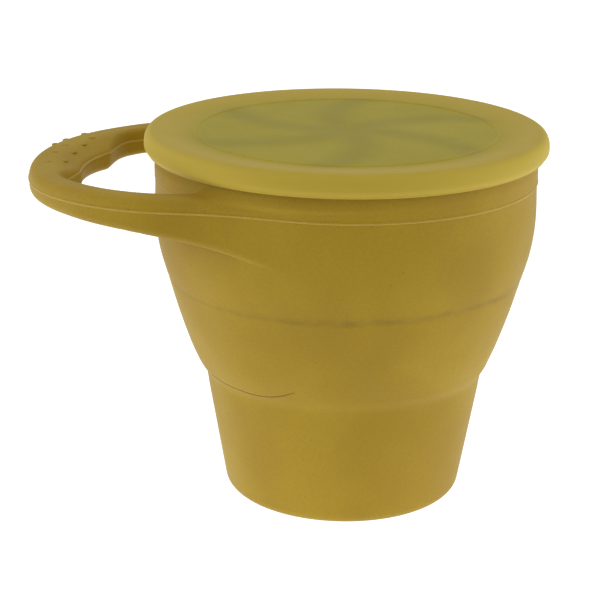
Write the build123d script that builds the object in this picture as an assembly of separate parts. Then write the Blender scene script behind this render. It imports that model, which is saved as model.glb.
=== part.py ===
"""Collapsible snack cup for a toddler.

A soft moulded cup folds down on itself between a stiffer base and a stiffer rim, and
carries a loop handle on one side. A lid of six curved finger flaps plugs its mouth, and
a thin cap closes over that. Millimetres, +Z up. The cup's axis is Z, it rests on the
plane z = 0, and the handle points along -X.
"""
from build123d import *
import math
import os

# Cup: outside radii and heights of its three sections
FOOT_RADIUS = 27.3           # base wall carried down to the resting plane
FOOT_EDGE_RADIUS = 3.5
BASE_HEIGHT = 30.6
BASE_TOP_RADIUS = 32.6
BASE_WALL = 2.4
BASE_INNER_CORNER = 2.5
FLOOR = 2.6
CREASE_STEP = 0.8            # fold section starts this far outside the base
FOLD_HEIGHT = 21.9
FOLD_BULGE = 0.42            # how far the fold section stands outside a straight cone
FOLD_WALL = 1.6
SHOULDER_HEIGHT = 15.5       # rim section: height over which it rounds to upright
SHOULDER_INSET = 2.6         # and how far inside the rim that starts, at the fold line
RIM_RADIUS = 43.4
RIM_HEIGHT = 29.5
RIM_WALL = 2.4
PARTING_BELOW_RIM = 6.8      # mould line round the cup and along the handle

# Loop handle: a wide grip round its tip, then narrower arms
HANDLE_REACH = 72.15         # cup axis to the tip of the loop
LOOP_RADIUS = 36.4
GRIP_WIDTH = 11.8
GRIP_TURN = 17.0             # from the tip of the loop round to the middle of the grip
GRIP_HALF_ANGLE = 19.0       # the grip's share of the loop, each side of its middle
ARM_WIDTH = 6.2
ARM_START_ANGLE = 41.0       # where the inner side has stepped out to the arms, same centre
GRIP_RISE = 2.8              # above and below the mould line
GRIP_DROP = 4.0
GRIP_TOP_WIDTH = 6.4         # flat top of the grip, before its inner slope
GRIP_ROUND = 2.6
ARM_FLARE_RADIUS = 100.0     # arms widen on this radius until they run along the cup
ARM_EDGE = 0.5               # what stands out from the cup where an arm ends
WEB_START = 62.0             # from here towards the cup the underside curves down
WEB_DROP = 6.2

# Flap lid
FLANGE_THICKNESS = 1.4
FLANGE_SETBACK = 0.2         # flange edge inside the cup's outside radius
PLUG_DEPTH = 6.0
PLUG_WALL = 2.1
FLAP_THICKNESS = 1.6
FLAP_RECESS = 0.6            # flaps below the flange's top
FLAP_COUNT = 6
FLAP_HOLE_RADIUS = 36.4      # corners of the opening that the flaps fill
FLAP_CORNER_ANGLE = 20.0     # first corner, from +X
SLIT_WIDTH = 1.1
SLIT_BOW = 6.3               # how far each slit bows from a straight spoke
SLIT_END_RADIUS = 1.3
SLIT_CENTRE_RADIUS = 1.2

# Cover lid
COVER_THICKNESS = 1.5
COVER_AIR_GAP = 0.3          # its underside above the flange's top
COVER_SEAT_WIDTH = 3.0       # ring of the cover that bears on the flange
COVER_PANEL_RADIUS = 35.0
COVER_CROWN = 0.8            # shoulder above the panel
COVER_EDGE_WALL = 2.15
COVER_WIDEST_ABOVE_LIP = 1.8
COVER_SKIRT = 2.5            # how far the skirt hangs below the flange's top
COVER_LIP_WALL = 0.85

# Clearance between pieces that come apart, and the least that counts as apart
LID_CLEARANCE = 0.3
TOUCH = 0.01

# Levels and radii that follow
CREASE_Z = BASE_HEIGHT
FOLD_Z = CREASE_Z + FOLD_HEIGHT
SHOULDER_Z = FOLD_Z + SHOULDER_HEIGHT
FOLD_TOP_RADIUS = RIM_RADIUS - SHOULDER_INSET
RIM_Z = FOLD_Z + RIM_HEIGHT
PARTING_Z = RIM_Z - PARTING_BELOW_RIM
MOUTH_RADIUS = RIM_RADIUS - RIM_WALL
FLANGE_Z = RIM_Z + FLANGE_THICKNESS
FLAP_TOP_Z = FLANGE_Z - FLAP_RECESS
FLAP_BOTTOM_Z = FLAP_TOP_Z - FLAP_THICKNESS
PLUG_RADIUS = MOUTH_RADIUS - LID_CLEARANCE
FLANGE_RADIUS = RIM_RADIUS - FLANGE_SETBACK
COVER_INNER_RADIUS = RIM_RADIUS + LID_CLEARANCE
LOOP_X = LOOP_RADIUS - HANDLE_REACH


def turned(*edges):
    """Solid of revolution about Z, from edges drawn as (radius, height)."""
    return revolve(Plane.XZ * make_face(edges), Axis.Z)


def near(shape, radius, height):
    """The one corner of a drawn profile nearest to (radius, height)."""
    return shape.vertices().sort_by_distance((radius, height, 0))[0]


def base_side(inset):
    """Side of the base section, drawn upwards, this far inside its outside."""
    return Line((FOOT_RADIUS - inset, 0), (BASE_TOP_RADIUS - inset, CREASE_Z))


def fold_side(inset):
    """Side of the fold section."""
    foot = (BASE_TOP_RADIUS + CREASE_STEP - inset, CREASE_Z)
    return SagittaArc(foot, (FOLD_TOP_RADIUS - inset, FOLD_Z), -FOLD_BULGE)


def rim_shoulder(inset):
    """Lower side of the rim section, from upright down to the fold line."""
    top = (RIM_RADIUS - inset, SHOULDER_Z)
    return TangentArc(top, (FOLD_TOP_RADIUS - inset, FOLD_Z), tangent=(0, -1))


def make_cup_base():
    outside = base_side(0)
    inside = base_side(BASE_WALL)
    floor_corner = inside @ (FLOOR / CREASE_Z)
    profile = make_face(
        [
            Line((0, 0), outside @ 0),
            outside,
            Line(outside @ 1, inside @ 1),
            Line(inside @ 1, floor_corner),
            Line(floor_corner, (0, FLOOR)),
            Line((0, FLOOR), (0, 0)),
        ]
    )
    profile = fillet(near(profile, FOOT_RADIUS, 0), FOOT_EDGE_RADIUS)
    profile = fillet(near(profile, floor_corner.X, FLOOR), BASE_INNER_CORNER)
    return revolve(Plane.XZ * profile, Axis.Z)


def make_cup_fold_wall():
    outside = fold_side(0)
    inside = fold_side(FOLD_WALL)
    return turned(outside, inside, Line(outside @ 0, inside @ 0), Line(outside @ 1, inside @ 1))


def make_cup_rim_wall():
    outside = rim_shoulder(0)
    inside = rim_shoulder(RIM_WALL)
    upright = Polyline(outside @ 0, (RIM_RADIUS, RIM_Z), (MOUTH_RADIUS, RIM_Z), inside @ 0)
    return turned(outside, upright, inside, Line(outside @ 1, inside @ 1))


def on_loop(radius, angle):
    """Point in plan on a circle about the loop's centre, by its angle from the tip."""
    turn = math.radians(angle)
    return Vector(LOOP_X - radius * math.cos(turn), radius * math.sin(turn))


def mirrored(point):
    return Vector(point.X, -point.Y)


def arm_flare():
    """Where an arm leaves the loop, the middle of its flare, and where it ends on the cup."""
    loop = Vector(LOOP_X, 0)
    end_radius = RIM_RADIUS + ARM_EDGE
    from_loop = LOOP_RADIUS + ARM_FLARE_RADIUS
    from_axis = end_radius + ARM_FLARE_RADIUS
    x = (from_loop**2 - from_axis**2 - LOOP_X**2) / (-2 * LOOP_X)
    centre = Vector(x, math.sqrt(from_axis**2 - x**2))
    leaves = loop + (centre - loop) * (LOOP_RADIUS / from_loop)
    meets = centre * (end_radius / from_axis)
    middle = centre + ((leaves + meets) / 2 - centre).normalized() * ARM_FLARE_RADIUS
    return leaves, middle, meets


def handle_outline():
    """The loop in plan, with its arms carried on into the cup."""
    leaves, middle, meets = arm_flare()
    return make_face(
        [
            ThreePointArc(meets, middle, leaves),
            ThreePointArc(leaves, (-HANDLE_REACH, 0), mirrored(leaves)),
            ThreePointArc(mirrored(leaves), mirrored(middle), mirrored(meets)),
            Line(mirrored(meets), meets),
        ]
    )


def finger_hole():
    """The finger gap in plan: narrow round the grip, wider between the arms."""
    grip_radius = LOOP_RADIUS - GRIP_WIDTH
    arm_radius = LOOP_RADIUS - ARM_WIDTH
    grip_end = on_loop(grip_radius, GRIP_HALF_ANGLE)
    arm_start = on_loop(arm_radius, ARM_START_ANGLE)
    centre = on_loop(0, 0)
    along_grip = on_loop(1, GRIP_HALF_ANGLE + 90) - centre
    along_arm = on_loop(1, ARM_START_ANGLE + 90) - centre
    step = Spline(grip_end, arm_start, tangents=[along_grip, along_arm])
    hole = make_face(
        [
            ThreePointArc(grip_end, on_loop(grip_radius, 0), mirrored(grip_end)),
            step,
            mirror(step, Plane.XZ),
            ThreePointArc(arm_start, on_loop(arm_radius, 180), mirrored(arm_start)),
        ]
    )
    return Pos(LOOP_X, 0) * Rot(0, 0, -GRIP_TURN) * Pos(-LOOP_X, 0) * hole


def under_cut(under_z, web_end):
    """What is cleared away under the handle: level at the grip, curving down at the arms."""
    web_start = (-WEB_START, under_z)
    past_tip = -HANDLE_REACH - GRIP_WIDTH
    below = web_end[1] - GRIP_WIDTH
    side = make_face(
        [
            Line((past_tip, under_z), web_start),
            TangentArc(web_start, web_end, tangent=(1, 0)),
            Polyline(web_end, (web_end[0], below), (past_tip, below), (past_tip, under_z)),
        ]
    )
    return extrude(Plane.XZ * side, 2 * LOOP_RADIUS, both=True)


def make_handle_loop():
    top_z = PARTING_Z + GRIP_RISE
    under_z = PARTING_Z - GRIP_DROP
    web_end = (arm_flare()[2].X, under_z - WEB_DROP)
    outline = handle_outline() - finger_hole()
    blank = extrude(Pos(0, 0, web_end[1]) * outline, top_z - web_end[1])
    blank -= under_cut(under_z, web_end)

    upper = [edge for edge in blank.edges() if edge.bounding_box().min.Z > top_z - TOUCH]
    lower = [edge for edge in blank.edges() if edge.bounding_box().max.Z < under_z + TOUCH]
    outside = [edge for edge in upper + lower if (edge @ 0.5).X < web_end[0] - TOUCH]
    blank = fillet(outside, GRIP_ROUND)

    # inner slope: from the flat top of the grip down to its mould line
    hole = LOOP_RADIUS - GRIP_WIDTH
    slope = Polyline(
        (hole, PARTING_Z),
        (LOOP_RADIUS - GRIP_TOP_WIDTH, top_z),
        (LOOP_RADIUS - GRIP_TOP_WIDTH, top_z + GRIP_RISE),
        (hole - GRIP_RISE, top_z + GRIP_RISE),
        (hole - GRIP_RISE, PARTING_Z),
        (hole, PARTING_Z),
    )
    blank -= Pos(LOOP_X, 0) * turned(slope)
    return blank - extrude(Circle(RIM_RADIUS), 2 * RIM_Z)


def flap_corner(index):
    """Corner of the flaps' opening, where a slit ends."""
    angle = math.radians(FLAP_CORNER_ANGLE + index * 360 / FLAP_COUNT)
    return Vector(math.cos(angle), math.sin(angle)) * FLAP_HOLE_RADIUS


def flap_opening():
    """The flaps and the slits between them, as one flat outline."""
    corners = [flap_corner(index) for index in range(FLAP_COUNT)]
    return make_face(Polyline(*corners, close=True))


def slits():
    """Curved slits from the middle to the corners, with a round end at each corner."""
    cuts = Circle(SLIT_CENTRE_RADIUS)
    for index in range(FLAP_COUNT):
        corner = flap_corner(index)
        cuts += trace(SagittaArc((0, 0), corner, SLIT_BOW), SLIT_WIDTH)
        cuts += Pos(corner) * Circle(SLIT_END_RADIUS)
    return cuts


def make_flap_lid_ring():
    plug_inner = PLUG_RADIUS - PLUG_WALL
    ring = turned(
        Polyline(
            (0, FLAP_BOTTOM_Z),
            (plug_inner, FLAP_BOTTOM_Z),
            (plug_inner, RIM_Z - PLUG_DEPTH),
            (PLUG_RADIUS, RIM_Z - PLUG_DEPTH),
            (PLUG_RADIUS, RIM_Z),
            (FLANGE_RADIUS, RIM_Z),
            (FLANGE_RADIUS, FLANGE_Z),
            (plug_inner, FLANGE_Z),
            (plug_inner, FLAP_TOP_Z),
            (0, FLAP_TOP_Z),
            (0, FLAP_BOTTOM_Z),
        )
    )
    return ring - extrude(Pos(0, 0, FLAP_BOTTOM_Z) * (flap_opening() + slits()), FLAP_THICKNESS)


def make_flap(index):
    """One flap, hinged on the side of the opening between two corners."""
    middle = (flap_corner(index) + flap_corner(index + 1)) / 2
    faces = (flap_opening() - slits()).faces()
    face = faces.sort_by_distance(Vector(middle.X, middle.Y, 0))[0]
    return extrude(Pos(0, 0, FLAP_BOTTOM_Z) * face, FLAP_THICKNESS)


def make_cover_lid():
    top_z = FLANGE_Z + COVER_AIR_GAP + COVER_THICKNESS
    shoulder_z = top_z + COVER_CROWN
    edge_radius = COVER_INNER_RADIUS + COVER_EDGE_WALL
    lip_z = FLANGE_Z - COVER_SKIRT
    lip_radius = COVER_INNER_RADIUS + COVER_LIP_WALL
    seat_radius = FLANGE_RADIUS - COVER_SEAT_WIDTH
    under_z = FLANGE_Z + COVER_AIR_GAP
    widest = (edge_radius, lip_z + COVER_WIDEST_ABOVE_LIP)
    shoulder = (COVER_INNER_RADIUS, shoulder_z)
    return turned(
        Polyline((0, top_z), (COVER_PANEL_RADIUS, top_z), shoulder),
        TangentArc(widest, shoulder, tangent=(0, 1)),
        TangentArc(widest, (lip_radius, lip_z), tangent=(0, -1)),
        Polyline(
            (lip_radius, lip_z),
            (COVER_INNER_RADIUS, lip_z),
            (COVER_INNER_RADIUS, FLANGE_Z),
            (seat_radius, FLANGE_Z),
            (seat_radius, under_z),
            (0, under_z),
            (0, top_z),
        ),
    )


PARTS = {
    "cup_base": make_cup_base,
    "cup_fold_wall": make_cup_fold_wall,
    "cup_rim_wall": make_cup_rim_wall,
    "handle_loop": make_handle_loop,
    "flap_lid_ring": make_flap_lid_ring,
    "cover_lid": make_cover_lid,
}

os.makedirs("parts", exist_ok=True)
for node, make in PARTS.items():
    export_step(make(), f"parts/{node}.step")
for number in range(FLAP_COUNT):
    export_step(make_flap(number), f"parts/flap_{number + 1}.step")
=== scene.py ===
"""Collapsible snack cup for a toddler, in soft mustard silicone.

The cup and its loop handle are one moulded skin that folds down on itself. A lid of six
curved finger flaps plugs the mouth, and a frosted cover closes over that. Sizes in the
classes are millimetres in the part's own frame: the cup's axis is Z, it stands on z = 0,
and the handle points along -X.
"""

import logging
import math
from dataclasses import dataclass, field
from enum import Enum

import bpy
import numpy as np
from mathutils import Matrix


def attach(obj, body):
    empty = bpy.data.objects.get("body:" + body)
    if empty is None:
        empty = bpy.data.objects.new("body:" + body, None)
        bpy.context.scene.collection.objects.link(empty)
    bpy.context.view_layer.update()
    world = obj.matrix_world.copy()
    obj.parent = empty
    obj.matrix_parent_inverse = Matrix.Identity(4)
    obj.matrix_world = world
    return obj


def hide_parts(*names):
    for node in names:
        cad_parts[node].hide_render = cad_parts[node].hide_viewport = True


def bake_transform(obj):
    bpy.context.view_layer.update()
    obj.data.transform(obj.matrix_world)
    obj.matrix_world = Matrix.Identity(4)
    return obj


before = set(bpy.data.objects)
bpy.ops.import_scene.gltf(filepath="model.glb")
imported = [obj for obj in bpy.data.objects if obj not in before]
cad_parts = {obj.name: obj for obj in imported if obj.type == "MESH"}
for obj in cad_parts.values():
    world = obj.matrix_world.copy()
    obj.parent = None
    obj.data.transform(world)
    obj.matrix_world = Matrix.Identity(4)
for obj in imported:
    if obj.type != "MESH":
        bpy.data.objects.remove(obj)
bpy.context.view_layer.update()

LOG = logging.getLogger("snack_cup")
MM = 0.001


class Body(str, Enum):
    """The bodies of the part that pieces move with."""

    BASE = "cup_base"
    RIM = "cup_rim"
    FLAP_LID = "flap_lid"
    COVER = "cover"


class Slot(str, Enum):
    """The material slots of the record."""

    CUP = "cup_silicone"
    FLAPS = "flap_silicone"
    COVER = "cover_silicone"


# ---------------------------------------------------------------- small tools


def linear(colour: str) -> tuple[float, float, float, float]:
    """Turn an sRGB hex colour into the linear one that shaders use.

    Args:
        colour: Six hex digits, such as "a08434".

    Returns:
        Red, green, blue and alpha.
    """
    parts = [int(colour[i : i + 2], 16) / 255 for i in (0, 2, 4)]
    parts = [p / 12.92 if p <= 0.04045 else ((p + 0.055) / 1.055) ** 2.4 for p in parts]
    return (*parts, 1.0)


def add_node(
    tree: bpy.types.NodeTree,
    kind: str,
    settings: dict | None = None,
    inputs: dict | None = None,
) -> bpy.types.Node:
    """Add a node, set it and link it.

    Args:
        tree: The tree it goes into.
        kind: Its type, such as "ShaderNodeBump".
        settings: Its properties by name.
        inputs: A value, or the socket to link from, by input name or index.

    Returns:
        The node.
    """
    node = tree.nodes.new(kind)
    for name, value in (settings or {}).items():
        setattr(node, name, value)
    for key, value in (inputs or {}).items():
        if isinstance(value, bpy.types.NodeSocket):
            tree.links.new(value, node.inputs[key])
        else:
            node.inputs[key].default_value = value
    return node


def add_piece(
    name: str,
    points: np.ndarray,
    faces: list,
    materials: list[bpy.types.Material],
    kinds: list[int] | None = None,
) -> bpy.types.Object:
    """Make a smooth-shaded mesh piece at the origin.

    Args:
        name: The piece's name.
        points: Its corners in millimetres, one row each.
        faces: Lists of corner numbers, anticlockwise from outside.
        materials: Its finishes.
        kinds: Which finish each face has, the first if left out.

    Returns:
        The object.
    """
    mesh = bpy.data.meshes.new(name)
    mesh.from_pydata((np.asarray(points) * MM).tolist(), [], faces)
    mesh.polygons.foreach_set("use_smooth", [True] * len(mesh.polygons))
    for material in materials:
        mesh.materials.append(material)
    if kinds:
        mesh.polygons.foreach_set("material_index", kinds)
    piece = bpy.data.objects.new(name, mesh)
    bpy.context.scene.collection.objects.link(piece)
    return piece


def smooth_step(value: np.ndarray) -> np.ndarray:
    """Ease from 0 to 1 as value goes from 0 to 1."""
    share = np.clip(value, 0.0, 1.0)
    return share * share * (3.0 - 2.0 * share)


def fade(value: np.ndarray, start: float, stop: float) -> np.ndarray:
    """Ease from 0 to 1 as value goes from start to stop."""
    return smooth_step((value - start) / (stop - start))


def between(first: float, second: float, share: np.ndarray) -> np.ndarray:
    """Blend from first to second as share goes from 0 to 1."""
    return first + (second - first) * share


def dent(value: np.ndarray, middle: float, half_width: float) -> np.ndarray:
    """Bell-shaped bump, 1 at the middle."""
    return np.exp(-(((value - middle) / half_width) ** 2))


def round_both(a: np.ndarray, b: np.ndarray, radius: np.ndarray | float) -> np.ndarray:
    """Distance to what lies inside both a and b, with their edge rounded."""
    corner = np.hypot(np.maximum(a + radius, 0.0), np.maximum(b + radius, 0.0))
    return np.minimum(np.maximum(a, b), -radius) + corner


def fillet_either(a: np.ndarray, b: np.ndarray, radius: np.ndarray) -> np.ndarray:
    """Distance to what lies inside a or b, with their inner corner filled."""
    corner = np.hypot(np.maximum(radius - a, 0.0), np.maximum(radius - b, 0.0))
    return np.maximum(np.minimum(a, b), radius) - corner


def arc(centre: tuple, radius: float, start: float, stop: float, count: int) -> list:
    """Points along an arc of a profile.

    Args:
        centre: Its middle, as (radius, height).
        radius: Its radius.
        start: First angle in degrees, from outwards.
        stop: Last angle.
        count: Number of points.

    Returns:
        The points as (radius, height).
    """
    turns = np.radians(np.linspace(start, stop, count))
    return [(centre[0] + radius * math.cos(t), centre[1] + radius * math.sin(t)) for t in turns]


def circle(centre: tuple, radius: float, start: float, stop: float, count: int) -> np.ndarray:
    """Points in plan along an arc, with angles in radians."""
    turns = np.linspace(start, stop, count)
    return np.column_stack([centre[0] + radius * np.cos(turns), centre[1] + radius * np.sin(turns)])


class SmoothCurve:
    """A natural cubic curve through given points."""

    def __init__(self, xs: tuple, ys: tuple) -> None:
        """Work out the curve through ys at xs, which rise."""
        self.xs, self.ys = np.array(xs, float), np.array(ys, float)
        gaps, count = np.diff(self.xs), len(xs)
        system, right = np.eye(count), np.zeros(count)
        for i in range(1, count - 1):
            system[i, i - 1 : i + 2] = gaps[i - 1], 2 * (gaps[i - 1] + gaps[i]), gaps[i]
            rise = np.diff(self.ys)[i - 1 : i + 1] / gaps[i - 1 : i + 1]
            right[i] = 6 * (rise[1] - rise[0])
        self.bends = np.linalg.solve(system, right)

    def __call__(self, x: np.ndarray) -> np.ndarray:
        """Height of the curve at x, held level past its ends."""
        x = np.clip(x, self.xs[0], self.xs[-1])
        i = np.clip(np.searchsorted(self.xs, x) - 1, 0, len(self.xs) - 2)
        gap = self.xs[i + 1] - self.xs[i]
        a, b = (self.xs[i + 1] - x) / gap, (x - self.xs[i]) / gap
        bend = (a**3 - a) * self.bends[i] + (b**3 - b) * self.bends[i + 1]
        return a * self.ys[i] + b * self.ys[i + 1] + bend * gap * gap / 6


class SkinBuilder:
    """Collects corners and faces of one skin."""

    def __init__(self) -> None:
        """Start with nothing."""
        self.points: list[np.ndarray] = []
        self.faces: list[list[int]] = []
        self.marks: list[tuple[int, int]] = []
        self.spots: list[tuple[int, int]] = []
        self.count = 0

    def mark(self, kind: int) -> None:
        """Give the faces added from here on this finish."""
        self.marks.append((len(self.faces), kind))

    def add(self, points: np.ndarray) -> np.ndarray:
        """Add corners and return their numbers."""
        points = np.asarray(points, float).reshape(-1, 3)
        self.points.append(points)
        self.count += len(points)
        return np.arange(self.count - len(points), self.count)

    def ring(self, radius: np.ndarray | float, height: np.ndarray | float, turns: np.ndarray) -> np.ndarray:
        """Add a ring of corners round the axis and return their numbers."""
        z = np.full_like(turns, height) if np.isscalar(height) else height
        return self.add(np.column_stack([radius * np.cos(turns), radius * np.sin(turns), z]))

    def band(self, lower: np.ndarray, upper: np.ndarray) -> None:
        """Join two closed rings, facing left of the way from lower to upper, seen from +Z to the axis."""
        right, above = np.roll(lower, -1), np.roll(upper, -1)
        self.faces += np.column_stack([lower, right, above, upper]).tolist()

    def cap(self, ring: np.ndarray, centre: tuple, up: bool) -> None:
        """Close a ring with a fan to one corner on the axis."""
        hub = self.add(np.array([centre]))[0]
        ahead = np.roll(ring, -1)
        order = (ring, ahead) if up else (ahead, ring)
        self.faces += np.column_stack([*order, np.full(len(ring), hub)]).tolist()

    def piece(self, name: str, *materials: bpy.types.Material) -> bpy.types.Object:
        """Turn what was collected into a piece."""
        kinds = np.zeros(len(self.faces), int)
        for start, kind in self.marks:
            kinds[start:] = kind
        for face, kind in self.spots:
            kinds[face] = kind
        return add_piece(
            name, np.concatenate(self.points), self.faces, list(materials), kinds.tolist()
        )


def wrap_net(values: np.ndarray) -> tuple[np.ndarray, np.ndarray, list]:
    """Draw a net of squares over the zero surface of a grid that wraps round its first axis.

    Args:
        values: Distances at the grid's points, below zero inside.

    Returns:
        Grid places of the net's corners, the corner number of each cell or -1, and the faces.
    """
    sizes = values.shape
    total = np.zeros((sizes[0], sizes[1] - 1, sizes[2] - 1, 3))
    hits = np.zeros(total.shape[:3])
    inside = values < 0
    crossings = []
    for axis in range(3):
        ahead = np.roll(values, -1, axis=axis)
        cross = inside != np.roll(inside, -1, axis=axis)
        if axis:
            last = [slice(None)] * 3
            last[axis] = -1
            cross[tuple(last)] = False
        share = np.where(cross, values / np.where(cross, values - ahead, 1.0), 0.0)
        crossings.append(cross)
        others = [a for a in range(3) if a != axis]
        for first in (0, 1):
            for second in (0, 1):
                shift = {axis: 0, others[0]: first, others[1]: second}
                moved, part = cross, share
                if shift[0]:
                    moved, part = np.roll(moved, -1, axis=0), np.roll(part, -1, axis=0)
                window = (
                    slice(None),
                    slice(shift[1], shift[1] + sizes[1] - 1),
                    slice(shift[2], shift[2] + sizes[2] - 1),
                )
                moved, part = moved[window], part[window]
                place = [np.full(moved.shape, float(shift[a])) for a in range(3)]
                place[axis] = part
                total += np.where(moved[..., None], np.stack(place, axis=-1), 0.0)
                hits += moved
    used = hits > 0
    number = np.full(used.shape, -1)
    number[used] = np.arange(used.sum())
    places = np.argwhere(used) + total[used] / hits[used][:, None]
    faces = []
    for axis, (p, q) in enumerate(((1, 2), (2, 0), (0, 1))):
        spots = np.argwhere(crossings[axis])
        keep = np.ones(len(spots), bool)
        for a in (p, q):
            if a:
                keep &= (spots[:, a] > 0) & (spots[:, a] < sizes[a] - 1)
        spots = spots[keep]
        rises = inside[tuple(spots.T)]
        corners = []
        for back_p, back_q in ((1, 1), (0, 1), (0, 0), (1, 0)):
            cell = spots.copy()
            cell[:, p] -= back_p
            cell[:, q] -= back_q
            cell[:, 0] %= sizes[0]
            corners.append(number[tuple(cell.T)])
        quads = np.column_stack(corners)
        quads[~rises] = quads[~rises][:, ::-1]
        faces += quads.tolist()
    return places, number, faces


# ---------------------------------------------------------------- finishes


CLOUDY = (0.3, 0.7)  # stretch of soft noise that makes clear patches
SILICONE_IOR = 1.41
SOAK = (1.0, 0.8, 0.35)  # how far red, green and blue light soak in, against each other


@dataclass(frozen=True)
class MouldedSilicone:
    """Mustard silicone rubber, compression moulded in a blasted tool.

    It gives the eye an even, chalky matt skin: soft broad highlights, slow drifts of tone
    from the pigment, a fine mottle, and the odd dark speck of grit.
    """

    name: str
    colour: str
    drift: str
    speck: str = "6a5220"
    mottle: str = "7c6426"
    bloom: str = "f4e7c4"
    roughness: float = 0.6
    roughness_swing: float = 0.06
    specular: float = 0.3
    sheen: float = 0.05
    sheen_roughness: float = 0.45
    drift_mm: float = 26.0
    mottle_mm: float = 0.55
    mottle_share: float = 0.16
    grain_mm: float = 0.45
    grain_height_mm: float = 0.012
    wave_mm: float = 9.0
    wave_height_mm: float = 0.03
    speck_mm: float = 3.6
    speck_share: float = 0.6
    glow: float = 0.12
    glow_mm: float = 1.2

    def build(self) -> bpy.types.Material:
        """Make the material.

        Returns:
            The material.
        """
        material = bpy.data.materials.new(self.name)
        material.use_nodes = True
        tree = material.node_tree
        tree.nodes.clear()
        place = add_node(tree, "ShaderNodeTexCoord").outputs["Object"]
        slow = self.spread(tree, self.noise(tree, place, self.drift_mm, 2.0), *CLOUDY, 0.0, 1.0)
        colour = self.mix(tree, slow, linear(self.colour), linear(self.drift))
        fine = self.noise(tree, place, self.mottle_mm, 1.0)
        fine = self.spread(tree, fine, 0.35, 0.7, 0.0, self.mottle_share)
        colour = self.mix(tree, fine, colour, linear(self.mottle))
        colour = self.mix(tree, self.specks(tree, place), colour, linear(self.speck))
        colour = self.mark(tree, place, colour)
        smoothest, roughest = self.roughness - self.roughness_swing, self.roughness + self.roughness_swing
        wave = self.noise(tree, place, self.wave_mm, 3.0)
        inputs = {
            "Base Color": colour,
            "Roughness": self.spread(tree, wave, 0.0, 1.0, smoothest, roughest),
            "IOR": SILICONE_IOR,
            "Specular IOR Level": self.specular,
            "Sheen Weight": self.sheen,
            "Sheen Roughness": self.sheen_roughness,
            "Sheen Tint": linear(self.bloom),
            "Normal": self.grain(tree, place),
            "Subsurface Weight": self.glow,
            "Subsurface Radius": SOAK,
            "Subsurface Scale": self.glow_mm * MM,
        }
        shader = add_node(tree, "ShaderNodeBsdfPrincipled", None, inputs)
        add_node(tree, "ShaderNodeOutputMaterial", None, {"Surface": shader.outputs["BSDF"]})
        return material

    def mark(self, tree: bpy.types.NodeTree, place, colour):
        """Leave the colour as it is; finishes that paint shade and light onto the silicone change it."""
        return colour

    @staticmethod
    def noise(tree: bpy.types.NodeTree, place, size_mm: float, detail: float):
        """Soft noise whose patches are about size_mm wide."""
        settings = {"Vector": place, "Scale": 1.0 / (size_mm * MM), "Detail": detail}
        return add_node(tree, "ShaderNodeTexNoise", None, settings).outputs["Fac"]

    @staticmethod
    def mix(tree: bpy.types.NodeTree, share, first, second):
        """Blend two colours."""
        inputs = {0: share, 6: first, 7: second}
        return add_node(tree, "ShaderNodeMix", {"data_type": "RGBA"}, inputs).outputs[2]

    @staticmethod
    def spread(tree: bpy.types.NodeTree, value, low: float, high: float, start: float, stop: float):
        """Map low..high smoothly to start..stop."""
        inputs = {0: value, 1: low, 2: high, 3: start, 4: stop}
        settings = {"interpolation_type": "SMOOTHSTEP"}
        return add_node(tree, "ShaderNodeMapRange", settings, inputs).outputs[0]

    @staticmethod
    def work_out(tree: bpy.types.NodeTree, kind: str, *values):
        """One step of arithmetic with one to three values."""
        return add_node(tree, "ShaderNodeMath", {"operation": kind}, dict(enumerate(values))).outputs[0]

    @staticmethod
    def from_axis(tree: bpy.types.NodeTree, place):
        """Distance from the cup's axis."""
        inputs = {0: place, 1: (1, 1, 0)}
        flat = add_node(tree, "ShaderNodeVectorMath", {"operation": "MULTIPLY"}, inputs).outputs["Vector"]
        return add_node(tree, "ShaderNodeVectorMath", {"operation": "LENGTH"}, {0: flat}).outputs["Value"]

    def specks(self, tree: bpy.types.NodeTree, place):
        """Sparse dark specks, about 0.3 mm across."""
        settings = {"Vector": place, "Scale": 1.0 / (self.speck_mm * MM)}
        spots = add_node(tree, "ShaderNodeTexVoronoi", None, settings).outputs["Distance"]
        return self.spread(tree, spots, 0.03, 0.065, self.speck_share, 0.0)

    def grain(self, tree: bpy.types.NodeTree, place):
        """Blasted grain over a slow moulding wave."""
        wave = self.bump(tree, self.noise(tree, place, self.wave_mm, 1.0), self.wave_height_mm, None)
        return self.bump(tree, self.noise(tree, place, self.grain_mm, 2.0), self.grain_height_mm, wave)

    @staticmethod
    def bump(tree: bpy.types.NodeTree, height, depth_mm: float, under):
        """Tilt the surface by a height, over another bump if there is one."""
        inputs = {"Height": height, "Distance": depth_mm * MM, "Strength": 1.0}
        if under is not None:
            inputs["Normal"] = under
        return add_node(tree, "ShaderNodeBump", None, inputs).outputs["Normal"]


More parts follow.
